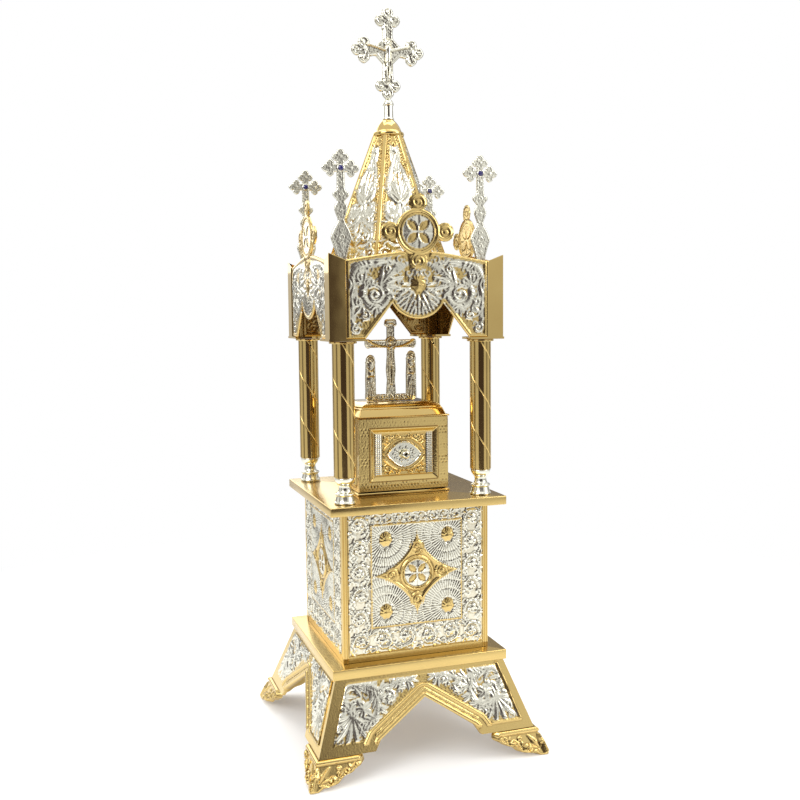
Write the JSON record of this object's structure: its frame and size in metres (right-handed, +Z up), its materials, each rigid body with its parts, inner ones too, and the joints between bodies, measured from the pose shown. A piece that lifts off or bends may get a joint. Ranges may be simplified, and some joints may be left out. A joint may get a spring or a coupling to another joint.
{
  "type": "altar tabernacle",
  "caption": "Gilt and silvered brass altar tabernacle: skirted base on cast feet, panelled case, ark with a drawer between columns, canopy and pointed spire with a cross.",
  "frame": {"origin": "on the ground under the middle of the four feet", "axes": "+Z up to the top cross, -Y to the front with the drawer's knob, +X to the right seen from the front"},
  "size_m": [0.2304, 0.2304, 0.7068],
  "materials": {
    "polished_gold": "polished gilt",
    "brushed_gold": "brushed gilt",
    "silvered_brass": "silvered relief, polished, over a gilt ground",
    "blue_stone": "faceted, clear"
  },
  "bodies": {
    "tabernacle": {"ark_base_plate": "polished_gold", "ark_case": "polished_gold", "ark_roof": "polished_gold", "blue_stone_back_left": "blue_stone", "blue_stone_back_right": "blue_stone", "blue_stone_front_left": "blue_stone", "blue_stone_front_right": "blue_stone", "canopy_corner_back_left": "polished_gold", "canopy_corner_back_right": "polished_gold", "canopy_corner_front_left": "polished_gold", "canopy_corner_front_right": "polished_gold", "canopy_deck": "brushed_gold", "case": "brushed_gold", "column_back_left": "polished_gold", "column_back_right": "polished_gold", "column_foot_back_left": "silvered_brass", "column_foot_back_right": "silvered_brass", "column_foot_front_left": "silvered_brass", "column_foot_front_right": "silvered_brass", "column_front_left": "polished_gold", "column_front_right": "polished_gold", "corner_strip_back_left": "polished_gold", "corner_strip_back_right": "polished_gold", "corner_strip_front_left": "polished_gold", "corner_strip_front_right": "polished_gold", "cross_socket": "silvered_brass", "crucifixion_group": "silvered_brass", "finial_back_left": "silvered_brass", "finial_back_right": "silvered_brass", "finial_front_left": "silvered_brass", "finial_front_right": "silvered_brass", "foot_back_left": "polished_gold", "foot_back_right": "polished_gold", "foot_front_left": "polished_gold", "foot_front_right": "polished_gold", "lower_slab": "brushed_gold", "panel_back": "silvered_brass", "panel_front": "silvered_brass", "panel_left": "silvered_brass", "panel_right": "silvered_brass", "spire": "polished_gold", "spire_cap": "polished_gold", "splayed_skirt": "polished_gold", "top_cross": "silvered_brass", "upper_slab": "brushed_gold", "valance_back": "silvered_brass", "valance_front": "silvered_brass", "valance_left": "silvered_brass", "valance_right": "silvered_brass"},
    "drawer_body": {"drawer": "polished_gold", "drawer_knob": "silvered_brass"}
  },
  "joints": [
    {"name": "drawer_slide", "type": "slide", "parent": "tabernacle", "child": "drawer_body", "axis": [0, -1, 0], "range_m": [0, 0.06]}
  ]
}
